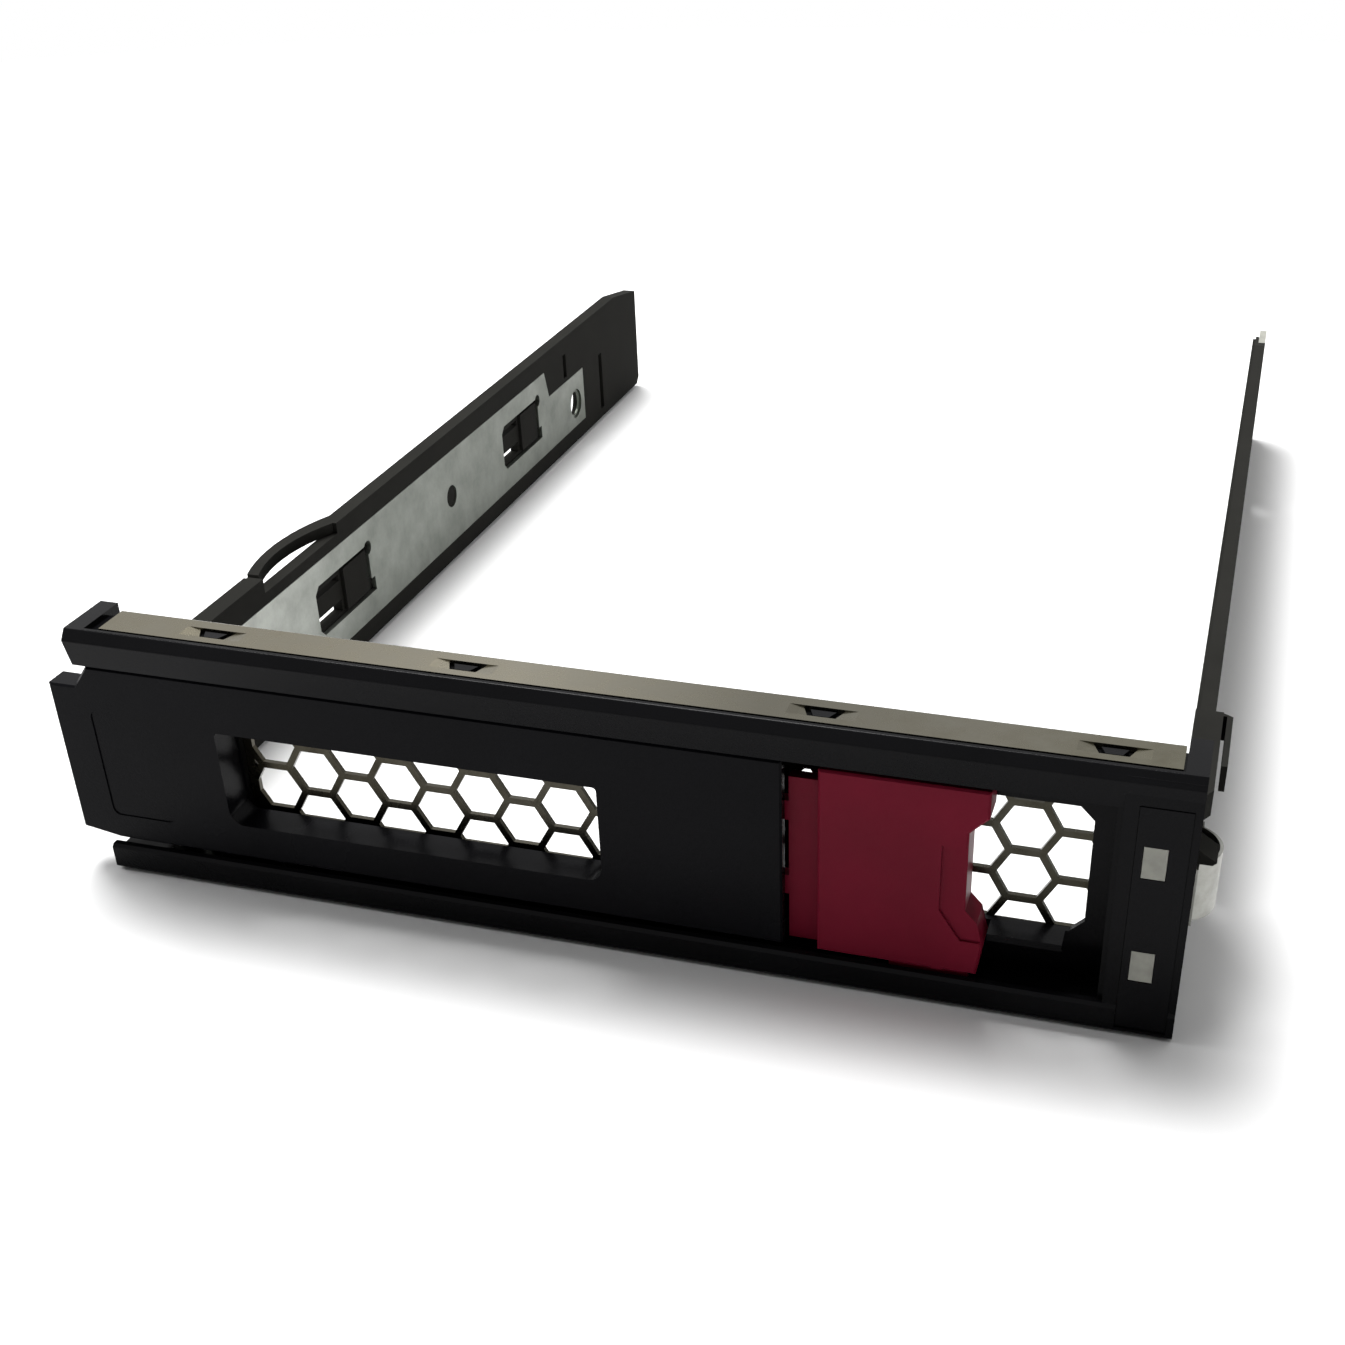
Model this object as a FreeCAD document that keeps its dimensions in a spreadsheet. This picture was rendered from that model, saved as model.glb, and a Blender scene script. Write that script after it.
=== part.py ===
"""Hot swap carrier for one 3.5 inch drive: latching front bezel, two side rails, ejector lever.

Every piece is drawn in carrier coordinates: X from the bezel's left end to its right end,
Y back from the tip of the top lip, Z up from the bezel's underside. The Placement of each
piece then moves the origin to the middle of the bezel's underside. Sizes are millimetres.
"""
import FreeCAD, Part
import os
import re
import Sketcher

SIZES = {
    # the drive that the carrier holds, and its side screw holes
    "drive_width": 101.6,
    "drive_length": 147.0,
    "drive_gap": 0.1,
    "drive_air_gap": 1.2,
    "screw_height": 6.35,
    "screw_from_front": 16.9,
    "screw_from_rear": 28.5,
    "screw_hole_radius": 1.85,
    "screw_head_radius": 3.4,
    "screw_head_depth": 0.7,
    # front bezel, a C-shaped moulding open to the front; its width follows from the rails
    "bezel_height": 26.8,
    "bezel_depth": 5.15,
    "bezel_back_wall": 0.65,
    "bezel_web_gap": 0.55,
    "bezel_web": 1.5,
    "lip_nose_drop": 1.0,
    "lip_top_run": 0.75,
    "lip_top_depth": 1.15,
    "lip_drop": 3.9,
    "lip_depth": 2.2,
    "lip_bottom_run": 0.7,
    "lip_rounding": 0.25,
    "sill_height": 2.8,
    "sill_depth": 0.9,
    "sill_chamfer": 0.3,
    "floor_height": 1.8,
    "floor_pad_start": 0.1,
    "floor_pad_length": 8.8,
    "floor_pad_front": 1.5,
    "floor_pad_back": 3.9,
    "floor_pad_height": 0.25,
    "column_width": 6.4,
    "column_setback": 0.3,
    "column_rib": 0.5,
    "return_width": 1.9,
    "return_overhang": 1.65,
    "shelf_thickness": 0.7,
    "shelf_depth": 2.3,
    "shelf_length": 6.7,
    "stop_width": 1.0,
    # windows in the bezel's back wall, behind the lever and behind the button
    "left_window_start": 14.0,
    "left_window_margin": 0.3,
    "left_window_bottom": 5.2,
    "left_window_drop": 3.4,
    "right_window_inset": 2.5,
    "right_window_length": 27.0,
    "right_window_bottom": 6.9,
    "right_window_drop": 2.8,
    "window_chamfer": 1.3,
    # perforated steel shield
    "shield_play": 0.05,
    "shield_sheet": 0.5,
    "shield_left": 8.6,
    "shield_right_gap": 0.8,
    "shield_bottom": 2.2,
    "flange_left": 3.3,
    "flange_right_gap": 2.1,
    "flange_gap": 0.3,
    "bend_radius": 0.45,
    "mesh_left_border": 0.9,
    "mesh_right_border": 0.3,
    "hexagon_side": 2.905,
    "hexagon_wire": 0.68,
    "hexagon_start": 17.05,
    "hexagon_height": 9.1,
    "catch_first": 14.4,
    "catch_second": 39.8,
    "catch_third_from_right": 32.7,
    "catch_fourth_from_right": 7.8,
    "catch_back_width": 3.7,
    "catch_front_width": 2.1,
    "catch_depth": 1.7,
    "catch_setback": 2.35,
    "catch_play": 0.35,
    "catch_height": 0.4,
    "coin_run": 1.3,
    "coin_depth": 0.3,
    # side rails
    "rail_inset": 0.1,
    "rail_wall": 1.9,
    "rail_lift": 0.4,
    "rail_top": 17.8,
    "rail_overrun": 0.5,
    "rail_end_slope": 10.0,
    "rail_end_drop": 1.7,
    "left_block_top": 18.2,
    "left_block_front": 13.5,
    "left_block_end": 31.5,
    "left_block_bulge": 0.3,
    "left_rail_front": 9.6,
    "right_block_top": 20.0,
    "right_block_front": 9.0,
    "right_block_end": 24.5,
    "right_block_bulge": 0.6,
    "right_rail_relief": 0.4,
    "right_relief_lift": 0.6,
    "right_rail_gap": 0.25,
    "plate_sheet": 0.6,
    "plate_play": 0.08,
    "plate_front_margin": 12.8,
    "plate_bottom": 2.8,
    "plate_top": 15.1,
    "plate_step_from_screw": 11.8,
    "plate_tab_top": 11.0,
    "plate_step_slope": 1.3,
    "plate_end_margin": 3.6,
    "plate_rim": 0.4,
    "locator_radius": 1.5,
    "locator_play": 0.1,
    "locator_from_rear": 46.2,
    "locator_height": 9.06,
    "snap_from_front_screw": 17.8,
    "snap_from_rear_screw": 28.5,
    "snap_length": 13.4,
    "snap_bottom": 5.9,
    "snap_top": 12.3,
    "snap_relief": 0.9,
    "snap_arm_bottom": 7.9,
    "snap_arm_top": 10.4,
    "snap_upper_slit": 0.8,
    "snap_arm_length": 6.6,
    "snap_gap": 0.5,
    "relief_radius": 0.6,
    "long_slot_from_end": 18.4,
    "long_slot_width": 1.4,
    "long_slot_bottom": 1.8,
    "long_slot_top": 10.8,
    "short_slot_from_screw": 4.2,
    "short_slot_width": 1.2,
    "short_slot_bottom": 11.7,
    "short_slot_top": 15.3,
    "slot_depth": 0.7,
    # moulded springs that centre the carrier in its bay
    "bow_root": 49.5,
    "bow_front": 33.0,
    "bow_thickness": 1.4,
    "bow_rise": 1.6,
    "bow_tip": 1.0,
    "bow_height": 1.3,
    "bow_wall": 1.5,
    "bow_wall_drop": 1.3,
    "finger_front": 14.5,
    "finger_root": 24.3,
    "finger_thickness": 0.55,
    "finger_reach": 1.5,
    "finger_bottom": 17.4,
    # how the rails are fixed to the bezel
    "foot_length": 22.0,
    "foot_front": 1.6,
    "foot_thickness": 0.9,
    "foot_lift": 0.1,
    "foot_play": 0.05,
    "arm_height": 2.6,
    "foot_screw_first": 12.0,
    "foot_screw_pitch": 7.0,
    "foot_screw_depth": 3.0,
    "boss_radius": 1.5,
    "boss_height": 2.85,
    "tab_front": 1.1,
    "tab_thickness": 1.1,
    "tab_play": 0.05,
    "tab_bottom": 1.0,
    "tab_top": 19.5,
    "tab_screw_depth": 3.3,
    "tab_screw_low": 3.6,
    "tab_screw_high": 13.0,
    "fixing_radius": 0.75,
    "fixing_head_radius": 1.35,
    "fixing_head_height": 0.6,
    "fixing_length": 3.4,
    "foot_fixing_length": 2.5,
    "fixing_play": 0.03,
    # indicator column
    "cover_edge": 0.7,
    "cover_width": 4.4,
    "cover_bottom": 0.6,
    "cover_drop": 3.3,
    "cover_setback": 0.2,
    "cover_thickness": 0.65,
    "cover_play": 0.05,
    "lamp_from_cover": 0.7,
    "lamp_width": 2.0,
    "lamp_height": 3.1,
    "lamp_low_bottom": 5.8,
    "lamp_high_lift": 0.55,
    "lamp_play": 0.05,
    "pipe_depth": 1.0,
    "pipe_height": 1.2,
    "pipe_low_bottom": 1.2,
    "pipe_high_drop": 0.6,
    "pipe_turn": 0.9,
    "pipe_end_gap": 0.4,
    "nub_start": 7.0,
    "nub_length": 3.0,
    "nub_bottom": 14.3,
    "nub_point": 0.35,
    "nub_height": 1.5,
    "nub_reach": 1.7,
    # grounding spring on the right side
    "ground_front": 6.2,
    "ground_length": 8.0,
    "ground_foot": 0.9,
    "ground_bottom": 8.2,
    "ground_width": 6.0,
    "ground_sheet": 0.3,
    "ground_rise": 1.9,
    "ground_play": 0.03,
    # ejector lever and its pin
    "pivot_from_left": 5.5,
    "pivot_depth": 3.7,
    "pin_radius": 1.0,
    "pin_press_play": 0.01,
    "pin_running_play": 0.06,
    "pin_end_gap": 0.05,
    "pin_chamfer": 0.2,
    "lever_front": 1.0,
    "lever_skin": 1.1,
    "lever_depth": 3.35,
    "lever_button_gap": 3.3,
    "lever_gap": 0.3,
    "lever_body_start": 9.2,
    "lever_thin_end": 6.4,
    "lever_wall": 1.2,
    "ear_reach": 3.6,
    "ear_depth": 2.5,
    "ear_drop": 2.3,
    "ear_lift": 0.7,
    "ear_slope": 1.7,
    "knuckle_radius": 2.1,
    "knuckle_height": 5.5,
    "lever_window_start": 13.8,
    "lever_window_margin": 17.4,
    "lever_window_lift": 3.8,
    "lever_window_drop": 5.4,
    "lever_window_radius": 1.5,
    "lever_window_cut": 0.4,
    "lever_edge_break": 0.2,
    "lever_panel_start": 0.4,
    "lever_panel_length": 7.0,
    "lever_panel_lift": 2.8,
    "lever_panel_drop": 4.8,
    "lever_panel_radius": 0.8,
    "lever_panel_depth": 0.12,
    "hook_setback": 2.0,
    "hook_thickness": 0.8,
    "hook_nose": 0.4,
    "hook_nose_depth": 0.55,
    "hook_height": 3.0,
    "lever_spring_radius": 1.3,
    "lever_spring_wire": 0.17,
    "lever_spring_pitch": 0.6,
    "lever_spring_turns": 6,
    "lever_spring_rear_angle": 75,
    "lever_spring_leg": 2.9,
    # release button and its spring
    "button_width": 15.1,
    "button_from_column": 11.0,
    "button_front": 0.9,
    "button_skin": 1.2,
    "button_depth": 3.3,
    "button_wall": 1.0,
    "button_drop": 0.2,
    "button_notch": 1.7,
    "button_notch_lift": 5.5,
    "button_notch_drop": 2.7,
    "button_edge_break": 0.2,
    "grip_top": 16.4,
    "grip_bottom": 6.6,
    "grip_run": 4.0,
    "grip_slope": 2.0,
    "grip_depth": 0.25,
    "button_step": 3.0,
    "button_step_drop": 2.0,
    "button_step_setback": 1.5,
    "button_step_thickness": 1.2,
    "latch_reach": 4.3,
    "latch_bar_width": 0.7,
    "latch_height": 10.0,
    "latch_window_height": 6.0,
    "button_travel": 2.0,
    "button_stop_gap": 0.2,
    "guide_height": 2.0,
    "guide_setback": 1.7,
    "guide_thickness": 1.4,
    "guide_low_length": 7.2,
    "guide_low_height": 1.0,
    "guide_low_setback": 0.3,
    "guide_play": 0.3,
    "post_gap": 0.3,
    "post_width": 1.2,
    "post_height": 6.2,
    "post_front": 2.6,
    "button_spring_radius": 0.85,
    "button_spring_wire": 0.14,
    "button_spring_turns": 7.0,
    "button_spring_height": 5.2,
    "button_spring_length": 8.1,
    "button_spring_play": 0.05,
}

ALIAS = re.compile(r"[a-z][a-z_]+")

document = FreeCAD.newDocument("drive_carrier")
sheet = document.addObject("Spreadsheet::Sheet", "dims")
for row, (alias, value) in enumerate(SIZES.items(), start=1):
    sheet.set(f"A{row}", alias)
    sheet.set(f"B{row}", str(value))
    sheet.setAlias(f"B{row}", alias)
document.recompute()

# places that several pieces share, as formulas of the sizes
RAIL_INNER = "(rail_inset + rail_wall)"
WIDTH = f"(drive_width + 2 * (drive_gap + {RAIL_INNER}))"
WALL_FRONT = "(bezel_depth - bezel_back_wall)"
WEB_TOP = "(bezel_height - bezel_web_gap)"
WEB_BOTTOM = f"({WEB_TOP} - bezel_web)"
LIP_BOTTOM = "(bezel_height - lip_drop)"
COLUMN_START = f"({WIDTH} - column_width)"
COLUMN_EDGE = f"({COLUMN_START} - column_rib)"
SHIELD_FRONT = "(bezel_depth + shield_play)"
SHIELD_BACK = f"({SHIELD_FRONT} + shield_sheet)"
SHIELD_RIGHT = f"({COLUMN_START} - shield_right_gap)"
FLANGE_FRONT = "(lip_top_depth + flange_gap)"
CATCHES = ["catch_first", "catch_second", f"({WIDTH} - catch_third_from_right)",
           f"({WIDTH} - catch_fourth_from_right)"]

DRIVE_FRONT = f"({SHIELD_BACK} + drive_air_gap)"
RAIL_END = f"({DRIVE_FRONT} + drive_length + rail_overrun)"
FRONT_HOLE = f"({DRIVE_FRONT} + screw_from_front)"
REAR_HOLE = f"({DRIVE_FRONT} + drive_length - screw_from_rear)"
LOCATOR = f"({REAR_HOLE} - locator_from_rear)"
SNAPS = [f"({FRONT_HOLE} + snap_from_front_screw)", f"({REAR_HOLE} - snap_from_rear_screw)"]
PLATE_BACK = f"({RAIL_INNER} - plate_sheet)"
RECESS_BACK = f"({PLATE_BACK} - plate_play / 2)"
PLATE_STEP = f"({REAR_HOLE} - plate_step_from_screw)"
RIGHT_RAIL_FRONT = "(bezel_depth + right_rail_gap)"

FOOT_TOP = "(foot_lift + foot_thickness)"
FOOT_SCREWS = ["foot_screw_first", "(foot_screw_first + foot_screw_pitch)"]
TAB_SCREWS = ["tab_screw_low", "tab_screw_high"]
TAB_START = f"({WIDTH} - tab_thickness)"

COVER_END = f"({WIDTH} - cover_edge)"
COVER_START = f"({COVER_END} - cover_width)"
COVER_TOP = "(bezel_height - cover_drop)"
LAMP_START = f"({COVER_START} + lamp_from_cover)"
LAMP_END = f"({LAMP_START} + lamp_width)"
PIPE_OUTER = f"({WIDTH} - rail_inset)"
PIPE_INNER = f"({PIPE_OUTER} - pipe_depth)"
PIPE_HIGH = "(rail_top - pipe_high_drop - pipe_height)"
LAMP_HIGH = f"({PIPE_HIGH} + lamp_high_lift)"
LAMPS = ["lamp_low_bottom", LAMP_HIGH]

BUTTON_END = f"({COLUMN_START} - button_from_column)"
BUTTON_START = f"({BUTTON_END} - button_width)"
BUTTON_BACK = "(button_front + button_depth)"
BUTTON_SKIN_BACK = "(button_front + button_skin)"
STEP_START = f"({BUTTON_START} - button_step)"
GUIDE_END = f"({BUTTON_END} - button_wall - button_stop_gap)"
POST_START = f"({BUTTON_START} + button_wall + post_gap)"
POST_END = f"({POST_START} + post_width)"
SPRING_END = f"({POST_END} + button_spring_length)"

LEVER_BOTTOM = "(sill_height + lever_gap)"
LEVER_TOP = f"({LIP_BOTTOM} - lever_gap)"
LEVER_END = f"({BUTTON_START} - lever_button_gap)"
LEVER_BODY_END = f"({LEVER_END} - lever_thin_end)"
LEVER_BACK = "(lever_front + lever_depth)"
LEVER_SKIN_BACK = "(lever_front + lever_skin)"
LEVER_WINDOW_END = f"({LEVER_END} - lever_window_margin)"
LEVER_WINDOW_BOTTOM = f"({LEVER_BOTTOM} + lever_window_lift)"
LEVER_WINDOW_TOP = f"({LEVER_TOP} - lever_window_drop)"
LEVER_MIDDLE = f"(({LEVER_BOTTOM} + {LEVER_TOP}) / 2)"
BUTTON_TOP = f"({LEVER_TOP} - button_drop)"
LEFT_WINDOW = ("left_window_start", "left_window_bottom",
               f"({LEVER_WINDOW_END} + left_window_margin)", f"({LIP_BOTTOM} - left_window_drop)")
RIGHT_WINDOW = (f"({COLUMN_START} - right_window_inset - right_window_length)",
                "right_window_bottom", f"({COLUMN_START} - right_window_inset)",
                f"({LIP_BOTTOM} - right_window_drop)")

VIEWS = {"front": "XZ_Plane", "side": "YZ_Plane", "plan": "XY_Plane"}


def bound(formula):
    """The formula with every size written as the sheet's cell, as setExpression reads it."""
    return ALIAS.sub(lambda m: "dims." + m.group() if m.group() in SIZES else m.group(), formula)


def number(formula):
    """The formula's value now."""
    return float(sheet.evalExpression(bound(formula)))


def place(item):
    """Moves a piece from carrier coordinates to the origin under the middle of the bezel."""
    item.setExpression("Placement.Base.x", bound(f"-{WIDTH} / 2"))
    item.setExpression("Placement.Base.y", bound("-bezel_depth / 2"))


def new_body(label):
    body = document.addObject("PartDesign::Body", label)
    body.Label = label
    place(body)
    return body


def rectangle(left, bottom, right, top):
    return [(left, bottom), (right, bottom), (right, top), (left, top)]


def chamfered(left, bottom, right, top, cut):
    """A rectangle with its four corners cut at 45 degrees."""
    return [
        (f"{left} + {cut}", bottom), (f"{right} - {cut}", bottom),
        (right, f"{bottom} + {cut}"), (right, f"{top} - {cut}"),
        (f"{right} - {cut}", top), (f"{left} + {cut}", top),
        (left, f"{top} - {cut}"), (left, f"{bottom} + {cut}"),
    ]


def rounded(left, bottom, right, top, low_radius, high_radius):
    """A rectangle with rounded lower corners and rounded upper corners."""
    low_rise = f"-({low_radius}) * (1 - sqrt(0.5))"
    high_rise = f"-({high_radius}) * (1 - sqrt(0.5))"
    return [
        (f"{left} + {low_radius}", bottom), (f"{right} - {low_radius}", bottom, low_rise),
        (right, f"{bottom} + {low_radius}"), (right, f"{top} - {high_radius}", high_rise),
        (f"{right} - {high_radius}", top), (f"{left} + {high_radius}", top, high_rise),
        (left, f"{top} - {high_radius}"), (left, f"{bottom} + {low_radius}", low_rise),
    ]


def inset(window, border):
    """The window's four sides, moved inwards by the border."""
    left, bottom, right, top = window
    return (f"({left} + {border})", f"({bottom} + {border})",
            f"({right} - {border})", f"({top} - {border})")


def mirrored(low, high):
    """A span of X measured from the left end, as the same span measured from the right end."""
    return f"({WIDTH} - ({high}))", f"({WIDTH} - ({low}))"


def add_edge(sketch, start, end, rise):
    """A line, or an arc that rises by the given height over its chord, to the chord's left."""
    first = FreeCAD.Vector(number(start[0]), number(start[1]), 0)
    last = FreeCAD.Vector(number(end[0]), number(end[1]), 0)
    if rise is None:
        return sketch.addGeometry(Part.LineSegment(first, last))
    chord = last - first
    left = FreeCAD.Vector(-chord.y, chord.x, 0).normalize()
    middle = (first + last) * 0.5 + left * number(rise)
    return sketch.addGeometry(Part.ArcOfCircle(first, middle, last))


def add_loop(sketch, loop):
    """A closed outline. Each corner is (u, v), or (u, v, rise) where an arc starts there."""
    edges = []
    for corner, following in zip(loop, loop[1:] + loop[:1]):
        rise = corner[2] if len(corner) == 3 else None
        edges.append(add_edge(sketch, corner, following, rise))
    ends = []
    for edge, corner in zip(edges, loop):
        point = FreeCAD.Vector(number(corner[0]), number(corner[1]), 0)
        start = sketch.getPoint(edge, 1)
        ends.append((1, 2) if (start - point).Length < 1e-6 else (2, 1))
    for index, (edge, corner) in enumerate(zip(edges, loop)):
        following = (index + 1) % len(loop)
        sketch.addConstraint(Sketcher.Constraint(
            "Coincident", edge, ends[index][1], edges[following], ends[following][0]))
    for edge, end, corner in zip(edges, ends, loop):
        for kind, formula in zip(("DistanceX", "DistanceY"), corner):
            constraint = sketch.addConstraint(
                Sketcher.Constraint(kind, edge, end[0], number(formula)))
            sketch.setExpression(f"Constraints[{constraint}]", bound(formula))
    for edge, corner, following in zip(edges, loop, loop[1:] + loop[:1]):
        if len(corner) == 3:
            chord = (f"(({following[0]}) - ({corner[0]})) ^ 2"
                     f" + (({following[1]}) - ({corner[1]})) ^ 2")
            formula = f"(({chord}) / 4 + ({corner[2]}) ^ 2) / (2 * abs({corner[2]}))"
            constraint = sketch.addConstraint(
                Sketcher.Constraint("Radius", edge, number(formula)))
            sketch.setExpression(f"Constraints[{constraint}]", bound(formula))


def add_disc(sketch, disc):
    """A circle, given as its centre and radius."""
    centre = FreeCAD.Vector(number(disc[0]), number(disc[1]), 0)
    edge = sketch.addGeometry(Part.Circle(centre, FreeCAD.Vector(0, 0, 1), number(disc[2])))
    for kind, formula in zip(("DistanceX", "DistanceY"), disc):
        constraint = sketch.addConstraint(Sketcher.Constraint(kind, edge, 3, number(formula)))
        sketch.setExpression(f"Constraints[{constraint}]", bound(formula))
    constraint = sketch.addConstraint(Sketcher.Constraint("Radius", edge, number(disc[2])))
    sketch.setExpression(f"Constraints[{constraint}]", bound(disc[2]))


def extrude(kind, body, view, name, loops, low, high):
    """Adds (Pad) or removes (Pocket) the loops between two places along the view's axis.

    A front view is drawn in X and Z and runs along Y, a side view in Y and Z along X,
    and a plan view in X and Y along Z.
    """
    sketch = body.newObject("Sketcher::SketchObject", f"{name}_sketch")
    plane = next(f for f in body.Origin.OriginFeatures if f.Role == VIEWS[view])
    sketch.AttachmentSupport = [(plane, "")]
    sketch.MapMode = "FlatFace"
    if view == "front":
        offset = f"-({high})" if kind == "Pad" else f"-({low})"
    else:
        offset = low if kind == "Pad" else high
    sketch.setExpression("AttachmentOffset.Base.z", bound(offset))
    for loop in loops:
        if isinstance(loop, tuple):
            add_disc(sketch, loop)
        else:
            add_loop(sketch, loop)
    volume = body.Shape.Volume if body.Tip else 0
    feature = body.newObject(f"PartDesign::{kind}", name)
    feature.Profile = sketch
    feature.setExpression("Length", bound(f"({high}) - ({low})"))
    document.recompute()
    change = body.Shape.Volume - volume
    if (change > 0) != (kind == "Pad"):
        raise RuntimeError(f"{body.Label}: {name} changed nothing")
    return feature


def pad(body, view, name, loops, low, high):
    return extrude("Pad", body, view, name, loops, low, high)


def pocket(body, view, name, loops, low, high):
    return extrude("Pocket", body, view, name, loops, low, high)


def round_edges(body, name, kind, radius, wanted):
    """Fillets or chamfers the edges whose middle and direction pass the test."""
    names = []
    for index, edge in enumerate(body.Tip.Shape.Edges, start=1):
        if edge.Curve.TypeId != "Part::GeomLine":
            continue
        middle = edge.valueAt((edge.FirstParameter + edge.LastParameter) / 2)
        direction = edge.tangentAt(edge.FirstParameter)
        if wanted(middle, direction, edge.Length):
            names.append(f"Edge{index}")
    if not names:
        raise RuntimeError(f"{body.Label}: {name} found no edge")
    feature = body.newObject(f"PartDesign::{kind}", name)
    feature.Base = (body.Tip if body.Tip != feature else feature.BaseFeature, names)
    feature.setExpression("Radius" if kind == "Fillet" else "Size", bound(radius))
    document.recompute()
    return feature


def make_bezel():
    body = new_body("front_bezel")
    section = [
        ("0", "bezel_height - lip_nose_drop"), ("lip_top_run", "bezel_height"),
        ("lip_top_depth", "bezel_height"), ("lip_top_depth", WEB_TOP),
        ("bezel_depth", WEB_TOP), ("bezel_depth", "0"), ("sill_chamfer", "0"),
        ("0", "sill_chamfer"), ("0", "sill_height - sill_chamfer"),
        ("sill_chamfer", "sill_height"), ("sill_depth", "sill_height"),
        ("sill_depth", "floor_height"), (WALL_FRONT, "floor_height"),
        (WALL_FRONT, WEB_BOTTOM), ("lip_depth", WEB_BOTTOM),
        ("lip_depth", LIP_BOTTOM), ("lip_bottom_run", LIP_BOTTOM),
    ]
    pad(body, "side", "channel", [section], "0", WIDTH)
    nose = number("bezel_height - lip_nose_drop")
    round_edges(body, "lip_edges", "Fillet", "lip_rounding",
                lambda m, d, length: abs(abs(d.x) - 1) < 1e-6 and m.z > nose - 1e-6
                and m.y < number("lip_top_run") + 1e-6)
    pad(body, "front", "column",
        [rectangle(COLUMN_START, "floor_height / 2", WIDTH, WEB_TOP)],
        "column_setback", "bezel_depth")
    pad(body, "front", "column_edge",
        [rectangle(COLUMN_EDGE, "floor_height / 2", COLUMN_START, WEB_BOTTOM)],
        "sill_depth", "bezel_depth")
    for name, span in (("left", ("0", "return_width")),
                       ("right", mirrored("0", "return_width"))):
        pad(body, "front", f"{name}_return",
            [rectangle(span[0], LIP_BOTTOM, span[1], "bezel_height")],
            "lip_top_run", "bezel_depth + return_overhang")
    pocket(body, "front", "windows",
           [chamfered(*LEFT_WINDOW, "window_chamfer"),
            chamfered(*RIGHT_WINDOW, "window_chamfer")],
           f"{WALL_FRONT} - 0.1", "bezel_depth + 1")
    shelf_start = f"({BUTTON_END} + button_stop_gap)"
    pad(body, "front", "shelf",
        [rectangle(shelf_start, "right_window_bottom - shelf_thickness",
                   f"{shelf_start} + shelf_length", "right_window_bottom")],
        f"{WALL_FRONT} - shelf_depth", "bezel_depth")
    pocket(body, "front", "ear_relief",
           [rectangle("-1", f"{LEVER_BOTTOM} - button_stop_gap", "shield_left - 0.4",
                      LIP_BOTTOM)], f"{WALL_FRONT} - 0.1", "bezel_depth + 5")
    rest_stop = f"({BUTTON_END} - button_wall)"
    pressed_stop = f"({BUTTON_START} + button_wall - button_travel - button_stop_gap)"
    stops = [(rest_stop, f"{rest_stop} + stop_width"),
             (f"{pressed_stop} - stop_width", pressed_stop)]
    for index, (low, high) in enumerate(stops):
        pad(body, "front", f"button_stop_{index}",
            [rectangle(low, f"{LIP_BOTTOM} + guide_play", high, WEB_TOP)],
            "lip_depth - 0.1", "bezel_depth")
    pad(body, "front", "spring_post",
        [rectangle(POST_START, "floor_height / 2", POST_END, "post_height")],
        "post_front", "bezel_depth")
    pad(body, "plan", "floor_pad",
        [rectangle(f"{BUTTON_END} + floor_pad_start", "floor_pad_front",
                   f"{BUTTON_END} + floor_pad_start + floor_pad_length", "floor_pad_back")],
        "floor_height - 0.1", "floor_height + floor_pad_height")
    pad(body, "plan", "catches",
        [[(f"{c} - catch_front_width / 2 + catch_play", "catch_setback + catch_play"),
          (f"{c} + catch_front_width / 2 - catch_play", "catch_setback + catch_play"),
          (f"{c} + catch_back_width / 2 - 2 * catch_play",
           "catch_setback + catch_depth - catch_play"),
          (f"{c} - catch_back_width / 2 + 2 * catch_play",
           "catch_setback + catch_depth - catch_play")] for c in CATCHES],
        f"{WEB_TOP} - 0.1", f"{WEB_TOP} + catch_height")
    pocket(body, "plan", "foot_recess",
           [rectangle("-1", "foot_front - foot_play", "foot_length + foot_play",
                      "bezel_depth + 1")], "-1", f"{FOOT_TOP} + foot_play")
    pad(body, "plan", "foot_bosses",
        [(x, "foot_screw_depth", "boss_radius") for x in FOOT_SCREWS],
        f"{FOOT_TOP} + foot_play", "boss_height")
    pocket(body, "plan", "foot_pilot_holes",
           [(x, "foot_screw_depth", "fixing_radius + fixing_play") for x in FOOT_SCREWS],
           "0", "boss_height + 0.1")
    pocket(body, "plan", "pivot_holes",
           [("pivot_from_left", "pivot_depth", "pin_radius + pin_press_play")],
           "0", "bezel_height")
    pocket(body, "side", "tab_recess",
           [rectangle("tab_front - tab_play", "tab_bottom - tab_play", "bezel_depth + 1",
                      "tab_top + tab_play")],
           f"{TAB_START} - tab_play", f"{WIDTH} + 1")
    pocket(body, "side", "tab_pilot_holes",
           [("tab_screw_depth", z, "fixing_radius + fixing_play") for z in TAB_SCREWS],
           f"{PIPE_OUTER} - fixing_length - 0.2", f"{WIDTH} + 1")
    pocket(body, "front", "cover_recess",
           [rectangle(f"{COVER_START} - cover_play", "cover_bottom - cover_play",
                      f"{COVER_END} + cover_play", f"{COVER_TOP} + cover_play")],
           "-1", "cover_setback + cover_thickness + cover_play")
    pocket(body, "front", "lamp_holes",
           [rectangle(f"{LAMP_START} - lamp_play", f"{z} - lamp_play",
                      f"{LAMP_END} + lamp_play", f"{z} + lamp_height + lamp_play")
            for z in LAMPS], "0", "bezel_depth + 1")
    return body


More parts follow.
